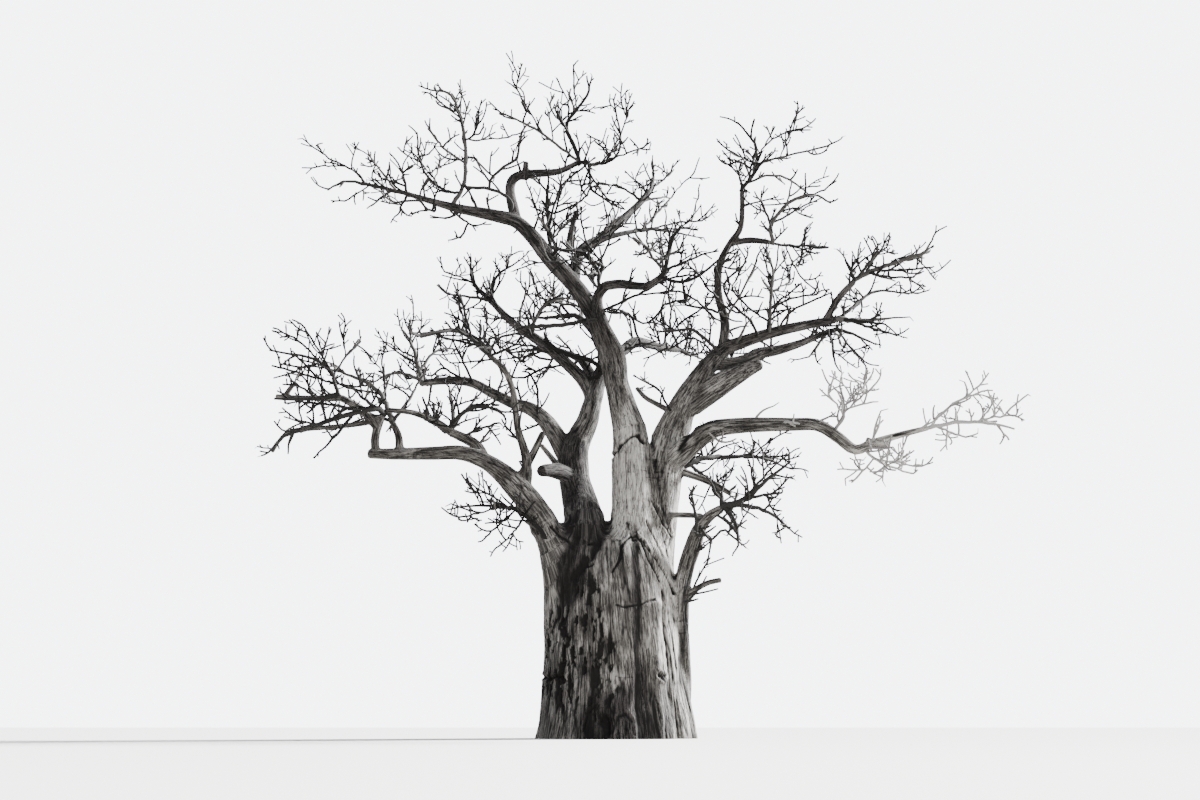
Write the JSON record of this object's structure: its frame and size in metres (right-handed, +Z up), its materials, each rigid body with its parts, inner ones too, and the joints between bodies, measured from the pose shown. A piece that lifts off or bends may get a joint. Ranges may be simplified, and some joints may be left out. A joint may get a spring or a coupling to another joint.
{
  "type": "baobab tree",
  "caption": "Leafless baobab tree: a thick fluted trunk that forks into leaning stems, crooked spreading boughs with bare rising branches, and open masses of fine twigs.",
  "frame": {"origin": "middle of the flat cut under the trunk, at ground level", "axes": "+X to the right as the picture shows the tree, +Y away from the viewer, +Z up"},
  "size_m": [19.8, 13.5, 19.341],
  "materials": {
    "bark": "rough weathered bark",
    "twigs": "dull twig bark"
  },
  "bodies": {
    "root": {"trunk": "bark", "west_bough": "bark", "west_riser": "bark", "west_riser_inner": "bark", "west_far_bough": "bark", "west_upper_bough": "bark", "front_bough": "bark", "west_stem": "bark", "west_back_bough": "bark", "west_high_bough": "bark", "back_west_bough": "bark", "back_high_bough": "bark", "middle_stem": "bark", "crown_west_bough": "bark", "crown_top_bough": "bark", "crown_back_bough": "bark", "crown_east_bough": "bark", "west_stub": "bark", "inner_stem": "bark", "front_bough_east": "bark", "back_bough": "bark", "east_stem": "bark", "east_rise_bough": "bark", "east_crook_bough": "bark", "east_far_bough": "bark", "east_back_bough": "bark", "broken_bough": "bark", "low_east_bough": "bark", "side_stem": "bark", "west_outer_twigs": "twigs", "west_hub_twigs": "twigs", "west_inner_twigs": "twigs", "west_upper_twigs": "twigs", "front_west_twigs": "twigs", "low_west_twigs": "twigs", "west_back_twigs": "twigs", "west_high_twigs": "twigs", "west_side_twigs": "twigs", "back_west_twigs": "twigs", "back_high_twigs": "twigs", "crown_west_twigs": "twigs", "crown_rise_twigs": "twigs", "crown_top_twigs": "twigs", "crown_inner_twigs": "twigs", "crown_back_twigs": "twigs", "crown_east_twigs": "twigs", "front_east_twigs": "twigs", "front_inner_twigs": "twigs", "back_twigs": "twigs", "east_top_twigs": "twigs", "east_crook_twigs": "twigs", "east_twigs": "twigs", "east_far_twigs": "twigs", "east_riser_twigs": "twigs", "east_back_twigs": "twigs", "low_east_tip_twigs": "twigs", "low_east_upper_twigs": "twigs", "low_east_under_twigs": "twigs", "side_twigs": "twigs", "back_east_twigs": "twigs"}
  },
  "joints": []
}
